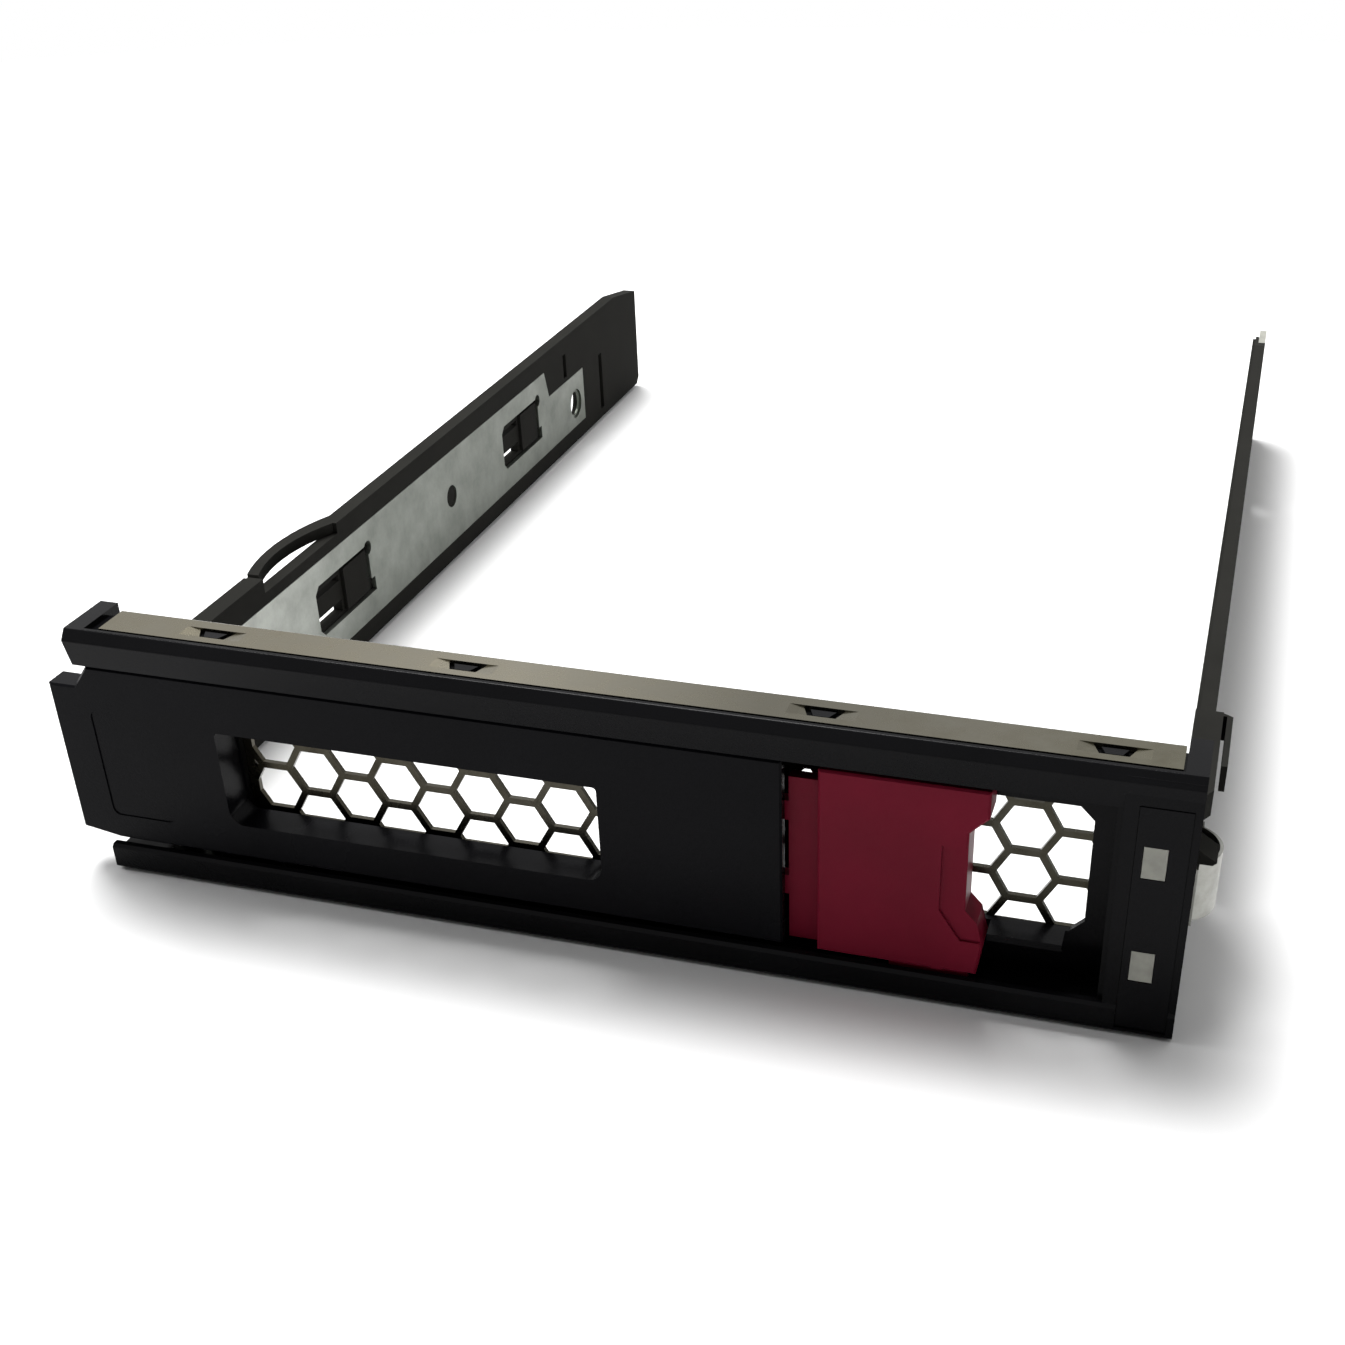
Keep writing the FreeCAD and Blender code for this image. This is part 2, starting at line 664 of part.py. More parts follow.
def make_shield():
    """Folded sheet: a face with two honeycomb windows, and a flange over the bezel's web."""
    blank = new_body("shield_blank")
    pad(blank, "side", "flange",
        [rectangle(FLANGE_FRONT, "bezel_height - shield_sheet", SHIELD_BACK, "bezel_height")],
        "flange_left", f"{WIDTH} - flange_right_gap")
    pad(blank, "side", "face",
        [rectangle(SHIELD_FRONT, "shield_bottom", SHIELD_BACK, "bezel_height")],
        "shield_left", SHIELD_RIGHT)
    pocket(blank, "plan", "catch_holes",
           [[(f"{c} - catch_front_width / 2", "catch_setback"),
             (f"{c} + catch_front_width / 2", "catch_setback"),
             (f"{c} + catch_back_width / 2", "catch_setback + catch_depth"),
             (f"{c} - catch_back_width / 2", "catch_setback + catch_depth")]
            for c in CATCHES], "bezel_height - shield_sheet - 0.1", "bezel_height + 0.1")
    slopes = []
    for c in CATCHES:
        for side in "-+":
            low = (f"{c} {side} (catch_front_width / 2 - 0.1)", "bezel_height - coin_depth")
            high = (f"{c} {side} (catch_back_width / 2 + coin_run)", "bezel_height + 0.01")
            slopes.append([low, high, (low[0], "bezel_height + 0.01")])
    pocket(blank, "front", "coined_slopes", slopes, "catch_setback",
           "catch_setback + catch_depth")
    top = number("bezel_height")
    back = number(SHIELD_BACK)
    round_edges(blank, "bend", "Fillet", "bend_radius",
                lambda m, d, length: abs(abs(d.x) - 1) < 1e-6 and abs(m.z - top) < 1e-6
                and abs(m.y - back) < 1e-6)

    windows = new_body("mesh_windows")
    pad(windows, "front", "mesh_areas",
        [chamfered(*inset(LEFT_WINDOW, "mesh_left_border"), "window_chamfer"),
         chamfered(*inset(RIGHT_WINDOW, "-mesh_right_border"), "window_chamfer")],
        f"{SHIELD_FRONT} - 0.5", f"{SHIELD_BACK} + 0.5")

    holes = document.addObject("Part::Feature", "hexagon_field")
    holes.Shape = hexagon_field()
    place(holes)
    clipped = document.addObject("Part::Common", "mesh_holes")
    clipped.Base = windows
    clipped.Tool = holes
    shield = document.addObject("Part::Cut", "emi_shield")
    shield.Base = blank
    shield.Tool = clipped
    shield.Label = "emi_shield"
    return shield


def hexagon_field():
    """One prism for each hole of the honeycomb, in columns that alternate by half a pitch."""
    side = number("hexagon_side")
    pitch = side * 3 ** 0.5
    reach = side - number("hexagon_wire") / 3 ** 0.5
    front = number(SHIELD_FRONT) - 0.2
    length = number("shield_sheet") + 0.4
    half = pitch / 2
    prisms = []
    first = int((number("shield_left") - number("hexagon_start")) / (1.5 * side)) - 1
    last = int((number(SHIELD_RIGHT) - number("hexagon_start")) / (1.5 * side)) + 1
    rows = int(number("bezel_height") / pitch) + 1
    for column in range(first, last + 1):
        x = number("hexagon_start") + 1.5 * side * column
        for row in range(-rows, rows + 1):
            z = number("hexagon_height") + pitch * row + (half if column % 2 else 0)
            if not -half < z < number("bezel_height") + half:
                continue
            corners = [FreeCAD.Vector(x + reach * dx, front, z + reach * dz) for dx, dz in (
                (1, 0), (0.5, 0.75 ** 0.5), (-0.5, 0.75 ** 0.5),
                (-1, 0), (-0.5, -0.75 ** 0.5), (0.5, -0.75 ** 0.5))]
            face = Part.Face(Part.makePolygon(corners + corners[:1]))
            prisms.append(face.extrude(FreeCAD.Vector(0, length, 0)))
    return Part.makeCompound(prisms)


def plate_outline(margin):
    """The rail plate seen from the side, grown by a margin: a strip with a lower rear tab."""
    front = f"{FRONT_HOLE} - plate_front_margin - {margin}"
    rear = f"{REAR_HOLE} + plate_end_margin + {margin}"
    tab_top = f"plate_tab_top + {margin}"
    return [
        (front, f"plate_bottom - {margin}"), (rear, f"plate_bottom - {margin}"),
        (rear, tab_top), (f"{PLATE_STEP} + plate_step_slope + {margin}", tab_top),
        (f"{PLATE_STEP} + {margin}", f"plate_top + {margin}"),
        (front, f"plate_top + {margin}"),
    ]


def add_rail_details(body, span):
    """What both rails have: the plate's recess, locating pin, snap arms, slots, screw holes."""
    low, high = span(RECESS_BACK, f"{RAIL_INNER} + 1")
    pocket(body, "side", "plate_recess", [plate_outline("plate_play")], low, high)
    low, high = span(f"{RECESS_BACK} - 0.1", f"{RAIL_INNER} - plate_sheet / 4")
    pad(body, "side", "locating_pin",
        [(LOCATOR, "locator_height", "locator_radius - locator_play")], low, high)
    low, high = span(f"{RECESS_BACK} - 0.1", f"{RAIL_INNER} - plate_sheet / 4")
    tongue_start = "snap_arm_length + snap_gap"
    pad(body, "side", "snap_tongues",
        [rectangle(f"{y} + {tongue_start}", "snap_bottom + snap_gap",
                   f"{y} + snap_length - snap_gap", "snap_top - snap_gap")
         for y in SNAPS], low, high)
    low, high = span("-2", f"{RAIL_INNER} + 1")
    slits = []
    for y in SNAPS:
        slits.append(rectangle(f"{y} + snap_gap", "snap_arm_top", f"{y} + snap_arm_length",
                               "snap_arm_top + snap_upper_slit"))
        slits.append(rectangle(f"{y} + snap_gap", "snap_bottom + snap_gap",
                               f"{y} + snap_arm_length", "snap_arm_bottom"))
    pocket(body, "side", "snap_slits", slits, low, high)
    pocket(body, "side", "relief_holes",
           [(f"{y} + snap_length", "snap_top - snap_relief / 2", "relief_radius")
            for y in SNAPS], low, high)
    low, high = span(f"{RAIL_INNER} - slot_depth", f"{RAIL_INNER} + 1")
    long_slot = f"({RAIL_END} - long_slot_from_end)"
    short_slot = f"({REAR_HOLE} - short_slot_from_screw)"
    pocket(body, "side", "rear_slots",
           [rectangle(long_slot, "long_slot_bottom", f"{long_slot} + long_slot_width",
                      "long_slot_top"),
            rectangle(short_slot, "short_slot_bottom",
                      f"{short_slot} + short_slot_width", "short_slot_top")], low, high)
    low, high = span("-2", f"{RAIL_INNER} + 1")
    pocket(body, "side", "screw_holes",
           [(y, "screw_height", "screw_hole_radius") for y in (FRONT_HOLE, REAR_HOLE)],
           low, high)
    low, high = span("-2", "rail_inset + screw_head_depth")
    pocket(body, "side", "screw_heads",
           [(y, "screw_height", "screw_head_radius") for y in (FRONT_HOLE, REAR_HOLE)],
           low, high)


def rail_outline(front, block_end, block_top):
    return [
        (front, "rail_lift"), (f"{RAIL_END} - 1", "rail_lift"),
        (RAIL_END, "rail_lift + 1"), (RAIL_END, "rail_top - rail_end_drop"),
        (f"{RAIL_END} - rail_end_slope", "rail_top"), (block_end, "rail_top"),
        (block_end, block_top), (front, block_top),
    ]


def make_left_rail():
    body = new_body("left_rail")

    def span(low, high):
        return low, high

    pad(body, "side", "wall",
        [rail_outline("left_rail_front", "left_block_end", "left_block_top")],
        "rail_inset", RAIL_INNER)
    pad(body, "side", "block_bulge",
        [chamfered("left_block_front", "rail_lift + 1", "left_block_end", "left_block_top",
                   "left_block_bulge")], "rail_inset - left_block_bulge", "rail_inset")
    pad(body, "plan", "foot",
        [rectangle("rail_inset", "foot_front", "foot_length", "bezel_depth")],
        "foot_lift", FOOT_TOP)
    pad(body, "side", "arm",
        [[("bezel_depth - 0.5", "foot_lift"), ("left_rail_front + 1", "foot_lift"),
          ("left_rail_front + 1", "arm_height"),
          ("bezel_depth + right_rail_gap", "arm_height"),
          ("bezel_depth + right_rail_gap", FOOT_TOP), ("bezel_depth - 0.5", FOOT_TOP)]],
        "rail_inset", RAIL_INNER)
    pocket(body, "plan", "foot_screw_holes",
           [(x, "foot_screw_depth", "fixing_radius + fixing_play") for x in FOOT_SCREWS],
           "0", f"{FOOT_TOP} + 0.1")
    pocket(body, "plan", "foot_screw_heads",
           [(x, "foot_screw_depth", "fixing_head_radius + fixing_play") for x in FOOT_SCREWS],
           "0", "foot_lift + fixing_head_height + fixing_play")
    add_rail_details(body, span)
    pocket(body, "side", "bow_clearance",
           [rectangle("left_block_end", "rail_top - bow_height * 2", "bow_root - 1",
                      "rail_top + 1")], "-2", f"{RAIL_INNER} - bow_wall")
    pocket(body, "side", "bow_wall_top",
           [rectangle("left_block_end", "rail_top - bow_wall_drop", "bow_root - 1",
                      "rail_top + 1")], "-2", f"{RAIL_INNER} + 1")
    pad(body, "plan", "bow",
        [[("rail_inset", "bow_root + 1"), ("rail_inset + bow_thickness", "bow_root + 1"),
          ("rail_inset + bow_thickness", "bow_root - 1.2", "-bow_rise"),
          ("rail_inset + bow_thickness - bow_tip", "bow_front"),
          ("rail_inset - bow_tip", "bow_front", "bow_rise")]],
        "rail_top - bow_height", "rail_top")
    return body


def make_right_rail():
    body = new_body("right_rail")
    pad(body, "side", "wall",
        [rail_outline(RIGHT_RAIL_FRONT, "right_block_end", "right_block_top")],
        *mirrored("rail_inset", RAIL_INNER))
    pad(body, "plan", "block_bulge",
        [[(f"{WIDTH} - rail_inset - 0.1", "right_block_front"),
          (f"{WIDTH} - rail_inset", "right_block_front"),
          (f"{WIDTH} + right_block_bulge", "right_block_front + 2 * right_block_bulge"),
          (f"{WIDTH} + right_block_bulge", "right_block_end"),
          (f"{WIDTH} - rail_inset - 0.1", "right_block_end")]],
        "finger_bottom", "right_block_top")
    pocket(body, "side", "upper_relief",
           [rectangle("right_block_end", "plate_top + right_relief_lift",
                      f"{RAIL_END} + 1", "rail_top + 1")],
           *mirrored(f"{RAIL_INNER} - right_rail_relief", f"{RAIL_INNER} + 1"))
    pad(body, "side", "fixing_tab",
        [rectangle("tab_front", "tab_bottom", f"{RIGHT_RAIL_FRONT} + 0.5", "tab_top")],
        *mirrored("rail_inset", "tab_thickness"))
    pocket(body, "side", "tab_screw_holes",
           [("tab_screw_depth", z, "fixing_radius + fixing_play") for z in TAB_SCREWS],
           f"{TAB_START} - 1", f"{WIDTH} + 1")
    pocket(body, "side", "tab_screw_heads",
           [("tab_screw_depth", z, "fixing_head_radius + fixing_play") for z in TAB_SCREWS],
           f"{PIPE_OUTER} - fixing_head_height - fixing_play", f"{WIDTH} + 1")
    add_rail_details(body, mirrored)
    turn_end = f"{RIGHT_RAIL_FRONT} + pipe_turn + lamp_play"
    pocket(body, "side", "pipe_grooves",
           [rectangle(f"{RIGHT_RAIL_FRONT} - lamp_play", f"{z} - lamp_play", f"{RAIL_END} + 1",
                      f"{z} + pipe_height + lamp_play")
            for z in ("pipe_low_bottom", PIPE_HIGH)],
           f"{PIPE_INNER} - lamp_play", f"{WIDTH} + 3")
    pocket(body, "side", "pipe_turns",
           [rectangle(f"{RIGHT_RAIL_FRONT} - lamp_play", "pipe_low_bottom - lamp_play",
                      turn_end, "lamp_low_bottom + lamp_height + lamp_play"),
            rectangle(f"{RIGHT_RAIL_FRONT} - lamp_play", f"{PIPE_HIGH} - lamp_play",
                      turn_end, f"{LAMP_HIGH} + pipe_height + lamp_play")],
           f"{WIDTH} - {RAIL_INNER} - 1", f"{WIDTH} + 3")
    bulge = f"({WIDTH} + right_block_bulge)"
    reach = f"({WIDTH} + finger_reach)"
    bend = "(finger_root - finger_thickness)"
    pad(body, "plan", "side_finger",
        [[(f"{bulge} - 0.1", bend), (f"{reach} - finger_thickness", bend),
          (f"{reach} - finger_thickness", "finger_front"), (reach, "finger_front"),
          (reach, bend), (bulge, "finger_root"), (f"{bulge} - 0.1", "finger_root")]],
        "finger_bottom", "right_block_top")
    pad(body, "front", "nub",
        [[(f"{WIDTH} - rail_inset - 0.3", "nub_bottom"),
          (f"{WIDTH} + nub_reach - nub_point", "nub_bottom"),
          (f"{WIDTH} + nub_reach", "nub_bottom + nub_point"),
          (f"{WIDTH} - rail_inset", "nub_bottom + nub_height"),
          (f"{WIDTH} - rail_inset - 0.3", "nub_bottom + nub_height")]],
        "nub_start", "nub_start + nub_length")
    return body


def make_plate(label, span):
    """Galvanised strip with two snap cut-outs, the locating hole and the screw holes."""
    body = new_body(label)
    low, high = span(PLATE_BACK, RAIL_INNER)
    pad(body, "side", "strip", [plate_outline("0")], low, high)
    loops = []
    for y in SNAPS:
        end = f"({y} + snap_length)"
        loops.append([
            (f"{y} + snap_relief", "snap_bottom"), (end, "snap_bottom"),
            (f"{end} + snap_relief", "snap_bottom"),
            (f"{end} + snap_relief", "snap_bottom + 2 * snap_relief"),
            (end, "snap_bottom + 2 * snap_relief"), (end, "snap_top"),
            (f"{y} + snap_relief", "snap_top"), (y, "snap_top - snap_relief"),
            (y, "snap_bottom + snap_relief"),
        ])
    low, high = span(f"{PLATE_BACK} - 1", f"{RAIL_INNER} + 1")
    pocket(body, "side", "snap_cutouts", loops, low, high)
    pocket(body, "side", "snap_reliefs",
           [(f"{y} + snap_length", "snap_top - snap_relief / 2", "snap_relief")
            for y in SNAPS], low, high)
    holes = [(LOCATOR, "locator_height", "locator_radius")]
    for y in (FRONT_HOLE, REAR_HOLE):
        holes.append((y, "screw_height", "screw_hole_radius"))
    pocket(body, "side", "round_holes", holes, low, high)
    low, high = span(f"{RAIL_INNER} - plate_sheet / 2", f"{RAIL_INNER} + 1")
    pocket(body, "side", "rear_hole_rim",
           [(REAR_HOLE, "screw_height", "screw_hole_radius + plate_rim")], low, high)
    return body


def make_pipe(label, lamp_bottom, run_bottom, turn_bottom, turn_top):
    """Clear light guide: lamp window, turn into the rail, and the run to the rail's end."""
    body = new_body(label)
    turn_end = f"({RIGHT_RAIL_FRONT} + pipe_turn)"
    pad(body, "front", "window_block",
        [rectangle(LAMP_START, lamp_bottom, LAMP_END, f"{lamp_bottom} + lamp_height")],
        "cover_setback + lamp_play", turn_end)
    pad(body, "front", "turn",
        [rectangle(LAMP_START, lamp_bottom, PIPE_OUTER, turn_top)],
        RIGHT_RAIL_FRONT, turn_end)
    if turn_bottom != lamp_bottom:
        pad(body, "front", "drop",
            [rectangle(PIPE_INNER, turn_bottom, PIPE_OUTER, turn_top)],
            RIGHT_RAIL_FRONT, turn_end)
    pad(body, "side", "run",
        [rectangle(RIGHT_RAIL_FRONT, run_bottom, f"{RAIL_END} - pipe_end_gap",
                   f"{run_bottom} + pipe_height")], PIPE_INNER, PIPE_OUTER)
    return body


def make_cover():
    body = new_body("indicator_cover")
    pad(body, "front", "panel",
        [rectangle(COVER_START, "cover_bottom", COVER_END, COVER_TOP)]
        + [rectangle(f"{LAMP_START} - lamp_play", f"{z} - lamp_play",
                     f"{LAMP_END} + lamp_play", f"{z} + lamp_height + lamp_play")
           for z in LAMPS], "cover_setback", "cover_setback + cover_thickness")
    return body


def make_ground_spring():
    body = new_body("right_ground_spring")
    inner = f"({WIDTH} - rail_inset + ground_play)"
    outer = f"({inner} + ground_sheet)"
    front = "(ground_front + ground_foot)"
    back = "(ground_front + ground_length - ground_foot)"
    pad(body, "plan", "strip",
        [[(inner, "ground_front"), (outer, "ground_front"),
          (outer, front, "-ground_rise"), (outer, back),
          (outer, "ground_front + ground_length"), (inner, "ground_front + ground_length"),
          (inner, back, "ground_rise"), (inner, front)]],
        "ground_bottom", "ground_bottom + ground_width")
    return body


def make_lever():
    body = new_body("ejector_lever")
    ear_top = f"{LEVER_TOP} - ear_drop"
    ear = [("-ear_reach", f"{LEVER_BOTTOM} + ear_lift"), ("ear_slope / 4", LEVER_BOTTOM),
           ("3", LEVER_BOTTOM), ("3", LEVER_TOP), ("ear_slope - 0.7", LEVER_TOP),
           ("-0.7", ear_top), ("-ear_reach", ear_top)]
    face = [point for point in ear]
    face[2] = (LEVER_END, LEVER_BOTTOM)
    face[3] = (LEVER_END, LEVER_TOP)
    pad(body, "front", "skin", [face], "lever_front", LEVER_SKIN_BACK)
    pad(body, "front", "ear", [ear], "lever_front", "lever_front + ear_depth")
    pad(body, "front", "body",
        [rectangle("lever_body_start", LEVER_BOTTOM, LEVER_BODY_END, LEVER_TOP)],
        "lever_front", LEVER_BACK)
    front = number("lever_front")
    round_edges(body, "front_edges", "Chamfer", "lever_edge_break",
                lambda m, d, length: abs(m.y - front) < 1e-6 and abs(d.y) < 1e-6)
    pocket(body, "front", "hollows",
           [rectangle(f"{LEVER_WINDOW_END} + lever_wall", f"{LEVER_BOTTOM} + lever_wall",
                      f"{LEVER_BODY_END} - lever_wall", f"{LEVER_TOP} - lever_wall"),
            rectangle("lever_body_start + lever_wall", f"{LEVER_WINDOW_TOP} + lever_wall",
                      LEVER_WINDOW_END, f"{LEVER_TOP} - lever_wall")],
           LEVER_SKIN_BACK, f"{LEVER_BACK} + 1")
    pocket(body, "front", "window",
           [rounded("lever_window_start", LEVER_WINDOW_BOTTOM, LEVER_WINDOW_END,
                    LEVER_WINDOW_TOP, "lever_window_radius", "lever_window_cut")],
           "lever_front - 1", f"{LEVER_BACK} + 1")
    pocket(body, "front", "panel",
           [rounded("lever_panel_start", f"{LEVER_BOTTOM} + lever_panel_lift",
                    "lever_panel_start + lever_panel_length",
                    f"{LEVER_TOP} - lever_panel_drop", "lever_panel_radius",
                    "lever_panel_radius")],
           "lever_front - 1", "lever_front + lever_panel_depth")
    hook_end = f"({LEVER_END} - hook_setback)"
    hook_start = f"({hook_end} - hook_thickness)"
    hook_bottom = f"{LEVER_MIDDLE} - hook_height / 2"
    hook_top = f"{LEVER_MIDDLE} + hook_height / 2"
    pad(body, "front", "hook_leg", [rectangle(hook_start, hook_bottom, hook_end, hook_top)],
        f"{LEVER_SKIN_BACK} - 0.1", LEVER_BACK)
    pad(body, "front", "hook_nose",
        [rectangle(f"{hook_start} - hook_nose", hook_bottom, f"{hook_start} + 0.1", hook_top)],
        f"{LEVER_BACK} - hook_nose_depth", LEVER_BACK)
    for name, low, high in (
            ("low", LEVER_BOTTOM, f"{LEVER_BOTTOM} + knuckle_height"),
            ("high", f"{LEVER_TOP} - knuckle_height", LEVER_TOP)):
        pad(body, "plan", f"{name}_knuckle",
            [("pivot_from_left", "pivot_depth", "knuckle_radius")], low, high)
        pad(body, "plan", f"{name}_knuckle_web",
            [rectangle("pivot_from_left - knuckle_radius", f"{LEVER_SKIN_BACK} - 0.1",
                       "lever_body_start + 0.1", "pivot_depth")], low, high)
    pocket(body, "plan", "bore",
           [("pivot_from_left", "pivot_depth", "pin_radius + pin_running_play")],
           f"{LEVER_BOTTOM} - 1", f"{LEVER_TOP} + 1")
    return body


def make_pin():
    pin = document.addObject("Part::Cylinder", "pin_blank")
    pin.setExpression("Radius", bound("pin_radius"))
    pin.setExpression("Height", bound(f"{WEB_TOP} - pin_end_gap - {FOOT_TOP} - pin_end_gap"))
    pin.setExpression("Placement.Base.x", bound("pivot_from_left"))
    pin.setExpression("Placement.Base.y", bound("pivot_depth"))
    pin.setExpression("Placement.Base.z", bound(f"{FOOT_TOP} + pin_end_gap"))
    document.recompute()
    ends = document.addObject("Part::Chamfer", "lever_pivot_pin")
    ends.Base = pin
    cut = number("pin_chamfer")
    ends.Edges = [(index, cut, cut) for index, edge in enumerate(pin.Shape.Edges, start=1)
                  if edge.Curve.TypeId == "Part::GeomCircle"]
    ends.Label = "lever_pivot_pin"
    place(ends)
    return ends


def make_lever_spring():
    """Torsion spring round the pin: one leg lies on the wall, the other inside the lever."""
    radius = number("lever_spring_radius")
    rear_angle = number("lever_spring_rear_angle")
    turns = number("lever_spring_turns") + (270 - rear_angle) / 360
    height = number("lever_spring_pitch") * turns
    middle = number(LEVER_MIDDLE)
    upward = FreeCAD.Vector(0, 0, 1)
    coil = Part.makeHelix(number("lever_spring_pitch"), height, radius)
    coil.rotate(FreeCAD.Vector(0, 0, 0), upward, rear_angle)
    coil.translate(FreeCAD.Vector(number("pivot_from_left"), number("pivot_depth"),
                                  middle - height / 2))
    rear = coil.Vertexes[0].Point
    front = coil.Vertexes[-1].Point
    rear_way = FreeCAD.Rotation(upward, rear_angle - 90).multVec(FreeCAD.Vector(1, 0, 0))
    wire = number("lever_spring_wire")
    leg = number("lever_spring_leg")
    profile = Part.Wire(Part.makeCircle(wire, rear, rear_way))
    spring = Part.Wire(coil.Edges).makePipeShell([profile], True, True)
    rear_leg = Part.makeCylinder(wire, leg, rear, rear_way)
    front_leg = Part.makeCylinder(wire, leg, front, FreeCAD.Vector(1, 0, 0))
    item = document.addObject("Part::Feature", "lever_spring")
    item.Shape = spring.fuse([rear_leg, front_leg])
    item.Label = "lever_spring"
    place(item)
    return item


def make_button():
    body = new_body("release_button")
    notch_bottom = f"{LEVER_BOTTOM} + button_notch_lift"
    notch_top = f"{BUTTON_TOP} - button_notch_drop"
    face = [
        (BUTTON_START, LEVER_BOTTOM), (f"{BUTTON_END} - 0.4", LEVER_BOTTOM),
        (BUTTON_END, f"{notch_bottom} - 2.5"), (f"{BUTTON_END} - 0.6", notch_bottom),
        (f"{BUTTON_END} - button_notch", f"{notch_bottom} + 1.2"),
        (f"{BUTTON_END} - button_notch", f"{notch_top} - button_notch"),
        (BUTTON_END, notch_top), (BUTTON_END, BUTTON_TOP),
        (BUTTON_START, BUTTON_TOP),
    ]
    pad(body, "front", "face", [face], "button_front", BUTTON_BACK)
    front = number("button_front")
    round_edges(body, "front_edges", "Chamfer", "button_edge_break",
                lambda m, d, length: abs(m.y - front) < 1e-6 and abs(d.y) < 1e-6)
    grip_start = f"({BUTTON_END} - grip_run)"
    pocket(body, "front", "grip",
           [[(grip_start, "grip_bottom + 1.5 * grip_slope"),
             (f"{grip_start} + grip_slope", "grip_bottom"), (f"{BUTTON_END} + 1", "grip_bottom"),
             (f"{BUTTON_END} + 1", "grip_top"), (grip_start, "grip_top")]],
           "button_front - 1", "button_front + grip_depth")
    pocket(body, "front", "hollow",
           [rectangle(f"{BUTTON_START} + button_wall", f"{LEVER_BOTTOM} + button_wall",
                      f"{BUTTON_END} - button_notch - button_wall",
                      f"{BUTTON_TOP} - button_wall")],
           BUTTON_SKIN_BACK, f"{BUTTON_BACK} + 1")
    pocket(body, "front", "post_passage",
           [rectangle(f"{BUTTON_START} + button_wall", f"{LEVER_BOTTOM} - 1",
                      f"{POST_END} + button_travel + button_stop_gap",
                      f"{LEVER_BOTTOM} + button_wall + 0.1")],
           BUTTON_SKIN_BACK, f"{BUTTON_BACK} + 1")
    pad(body, "front", "spring_seat",
        [rectangle(SPRING_END, LEVER_BOTTOM, f"{SPRING_END} + button_wall",
                   "button_spring_height + 2 * button_spring_radius")],
        "button_front", BUTTON_BACK)
    step_front = "(button_front + button_step_setback)"
    step_back = f"{step_front} + button_step_thickness"
    pad(body, "front", "recessed_step",
        [rectangle(STEP_START, LEVER_BOTTOM, f"{BUTTON_START} + 0.5",
                   f"{BUTTON_TOP} - button_step_drop")], step_front, step_back)
    bar_start = f"({STEP_START} - latch_reach)"
    pad(body, "front", "latch_frame",
        [rectangle(bar_start, f"{LEVER_MIDDLE} - latch_height / 2",
                   f"{STEP_START} + 0.1", f"{LEVER_MIDDLE} + latch_height / 2"),
         rectangle(f"{bar_start} + latch_bar_width",
                   f"{LEVER_MIDDLE} - latch_window_height / 2",
                   STEP_START, f"{LEVER_MIDDLE} + latch_window_height / 2")],
        step_front, step_back)
    guide_front = "button_front + guide_setback"
    pad(body, "front", "top_guide",
        [rectangle(f"{BUTTON_START} + button_wall", f"{BUTTON_TOP} - 0.5", GUIDE_END,
                   f"{BUTTON_TOP} + guide_height")],
        guide_front, f"{guide_front} + guide_thickness")
    guide_front = "button_front + guide_low_setback"
    pad(body, "front", "bottom_guide",
        [rectangle(f"{GUIDE_END} - guide_low_length", f"{LEVER_BOTTOM} - guide_low_height",
                   GUIDE_END, f"{LEVER_BOTTOM} + 0.5")],
        guide_front, f"{guide_front} + guide_thickness")
    return body


def make_button_spring():
    start = f"({POST_END} + button_spring_play + button_spring_wire)"
    length = f"({SPRING_END} - button_spring_play - button_spring_wire - {start})"
    coil = document.addObject("Part::Helix", "button_spring_path")
    coil.setExpression("Radius", bound("button_spring_radius"))
    coil.setExpression("Height", bound(length))
    coil.setExpression("Pitch", bound(f"{length} / button_spring_turns"))
    profile = document.addObject("Part::Circle", "button_spring_profile")
    profile.setExpression("Radius", bound("button_spring_wire"))
    profile.setExpression("Placement.Base.x", bound("button_spring_radius"))
    profile.Placement.Rotation = FreeCAD.Rotation(FreeCAD.Vector(1, 0, 0), 90)
    document.recompute()
    sweep = document.addObject("Part::Sweep", "button_spring")
    sweep.Sections = [profile]
    sweep.Spine = (coil, [f"Edge{n}" for n in range(1, len(coil.Shape.Edges) + 1)])
    sweep.Solid = True
    sweep.Frenet = True
    sweep.Label = "button_spring"
    sweep.Placement.Rotation = FreeCAD.Rotation(FreeCAD.Vector(0, 1, 0), 90)
    sweep.setExpression("Placement.Base.x", bound(f"{start} - {WIDTH} / 2"))
    sweep.setExpression("Placement.Base.y", bound(
        f"({BUTTON_SKIN_BACK} + {BUTTON_BACK}) / 2 - bezel_depth / 2"))
    sweep.setExpression("Placement.Base.z", bound("button_spring_height"))
    return sweep


def make_screw(name, length, x, y, z, rotation):
    """Countersunk screw whose head lies at the given point and whose shank leaves it."""
    head = document.addObject("Part::Cone", f"{name}_head")
    head.setExpression("Radius1", bound("fixing_head_radius"))
    head.setExpression("Radius2", bound("fixing_radius"))
    head.setExpression("Height", bound("fixing_head_height"))
    shank = document.addObject("Part::Cylinder", f"{name}_shank")
    shank.setExpression("Radius", bound("fixing_radius"))
    shank.setExpression("Height", bound(length))
    screw = document.addObject("Part::Fuse", name)
    screw.Base = head
    screw.Tool = shank
    screw.Placement.Rotation = rotation
    for axis, formula in zip("xyz", (f"{x} - {WIDTH} / 2", f"{y} - bezel_depth / 2", z)):
        screw.setExpression(f"Placement.Base.{axis}", bound(formula))
    return screw


